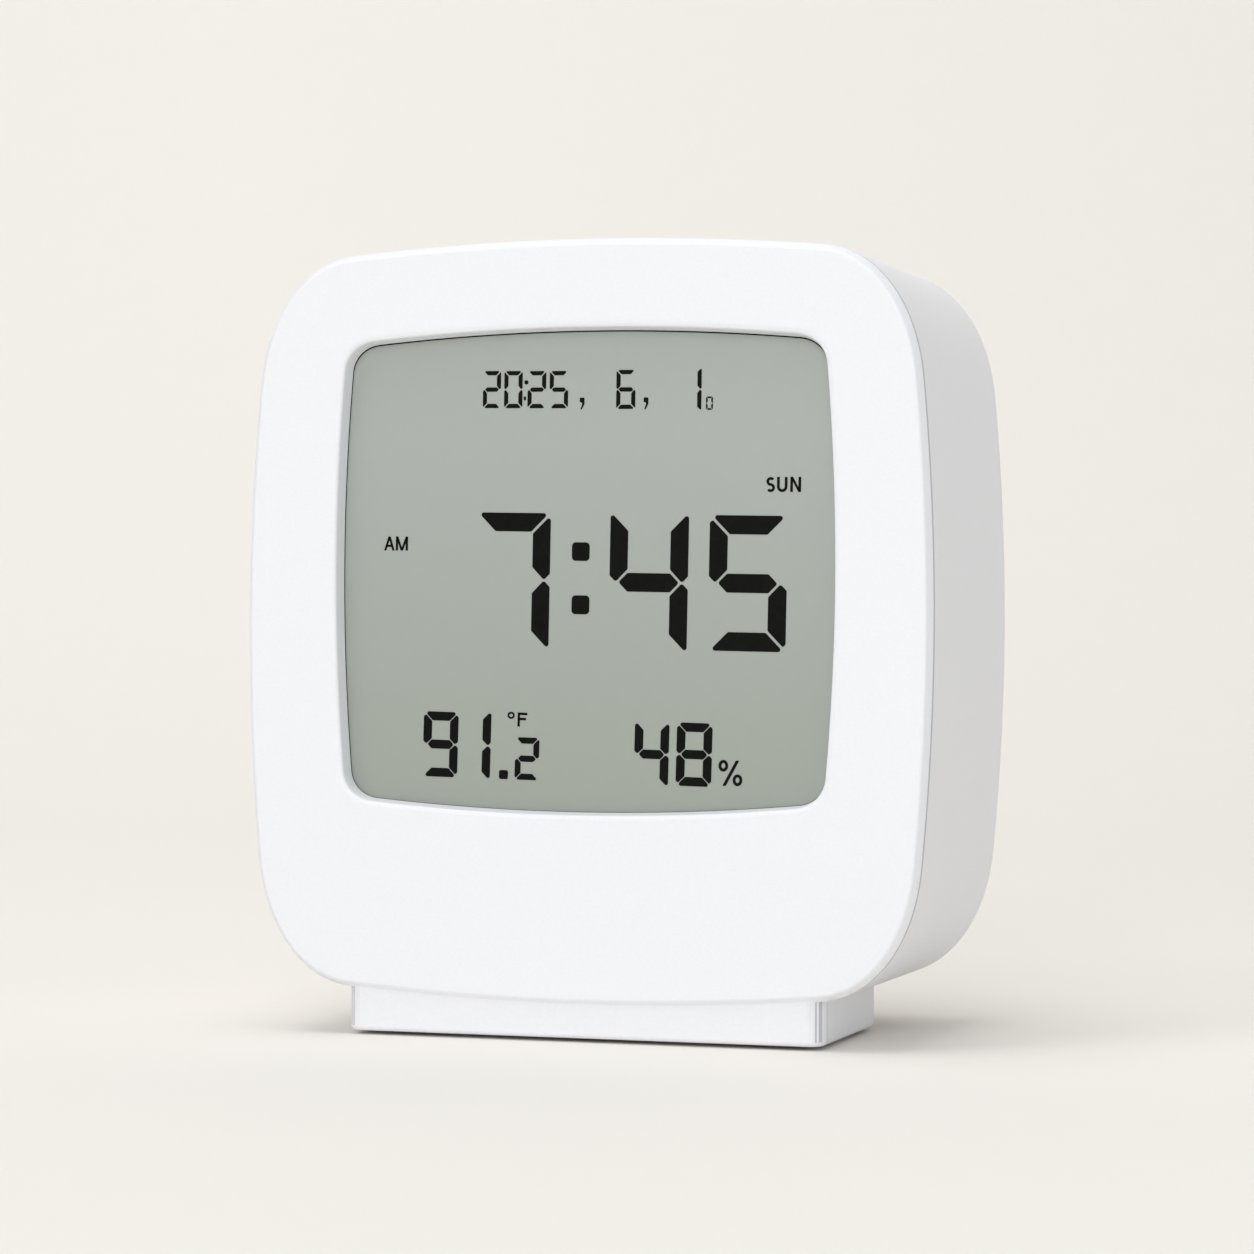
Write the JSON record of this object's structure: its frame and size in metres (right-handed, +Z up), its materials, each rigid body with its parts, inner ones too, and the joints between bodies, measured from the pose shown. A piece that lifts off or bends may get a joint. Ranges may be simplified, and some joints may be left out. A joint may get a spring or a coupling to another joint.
{
  "type": "digital desk clock",
  "caption": "Free-standing digital desk clock: barrel-sided white plastic case on a low foot, liquid crystal display in a rounded window, rear push buttons and a hinged battery door.",
  "frame": {"origin": "On the table plane, under the middle of the bounding box.", "axes": "+X to the right seen from the front, +Y from the display to the rear wall, +Z up. The display faces -Y."},
  "size_m": [0.09, 0.0476, 0.1007],
  "materials": {
    "white_plastic": "fine satin moulding",
    "button_plastic": "satin moulding",
    "display_film": "anti-glare film",
    "display_glass": "clear",
    "reflector_film": "brushed film",
    "conductive_rubber": "layered",
    "board_laminate": "solder resist",
    "black_epoxy": "poured",
    "black_plastic": "satin",
    "ivory_plastic": "satin",
    "steel": "zinc plated",
    "nickel_plate": "nickel plated",
    "cell_jacket": "plain film jacket",
    "soft_rubber": "matt",
    "red_wire": "extruded jacket",
    "black_wire": "extruded jacket",
    "grey_ribbon": "extruded jacket"
  },
  "bodies": {
    "case": {"front_bezel": "white_plastic", "rear_housing": "white_plastic", "front_polariser": "display_film", "front_glass": "display_glass", "rear_glass": "display_glass", "reflector_film": "reflector_film", "zebra_strip_top": "conductive_rubber", "zebra_strip_bottom": "conductive_rubber", "main_board": "board_laminate", "rear_board": "board_laminate", "controller_chip": "black_epoxy", "timing_crystal": "steel", "smoothing_capacitor": "black_plastic", "main_ribbon_socket": "ivory_plastic", "rear_ribbon_socket": "ivory_plastic", "sounder": "black_plastic", "climate_sensor": "ivory_plastic", "upper_cell": "cell_jacket", "lower_cell": "cell_jacket", "positive_contact": "nickel_plate", "negative_contact": "nickel_plate", "bridge_contact": "nickel_plate", "negative_spring": "nickel_plate", "bridge_spring": "nickel_plate", "positive_lead": "red_wire", "negative_lead": "black_wire", "ribbon_cable": "grey_ribbon", "rear_board_screw_left": "steel", "rear_board_screw_right": "steel", "main_board_screw_upper_left": "steel", "case_screw_upper_left": "steel", "main_board_screw_upper_right": "steel", "case_screw_upper_right": "steel", "main_board_screw_lower_left": "steel", "case_screw_lower_left": "steel", "main_board_screw_lower_right": "steel", "case_screw_lower_right": "steel", "foot_pad_front_left": "soft_rubber", "foot_pad_front_right": "soft_rubber", "foot_pad_rear_left": "soft_rubber", "foot_pad_rear_right": "soft_rubber", "mode_switch": "black_plastic", "up_switch": "black_plastic", "down_switch": "black_plastic", "unit_switch": "black_plastic"},
    "mode_key": {"mode_button": "button_plastic", "mode_switch_plunger": "ivory_plastic"},
    "up_key": {"up_button": "button_plastic", "up_switch_plunger": "ivory_plastic"},
    "down_key": {"down_button": "button_plastic", "down_switch_plunger": "ivory_plastic"},
    "unit_key": {"unit_button": "button_plastic", "unit_switch_plunger": "ivory_plastic"},
    "door": {"battery_door": "white_plastic"}
  },
  "joints": [
    {"name": "battery_door_hinge", "type": "hinge", "parent": "case", "child": "door", "pos_m": [0, 0.0227, 0.0199], "axis": [-1, 0, 0], "range_deg": [0, 110]},
    {"name": "mode_button_press", "type": "slide", "parent": "case", "child": "mode_key", "axis": [0, -1, 0], "range_m": [0, 0.0006], "stiffness_N_per_m": 400, "springref_m": -0.001},
    {"name": "up_button_press", "type": "slide", "parent": "case", "child": "up_key", "axis": [0, -1, 0], "range_m": [0, 0.0006], "stiffness_N_per_m": 400, "springref_m": -0.001},
    {"name": "down_button_press", "type": "slide", "parent": "case", "child": "down_key", "axis": [0, -1, 0], "range_m": [0, 0.0006], "stiffness_N_per_m": 400, "springref_m": -0.001},
    {"name": "unit_button_press", "type": "slide", "parent": "case", "child": "unit_key", "axis": [0, -1, 0], "range_m": [0, 0.0006], "stiffness_N_per_m": 400, "springref_m": -0.001}
  ]
}
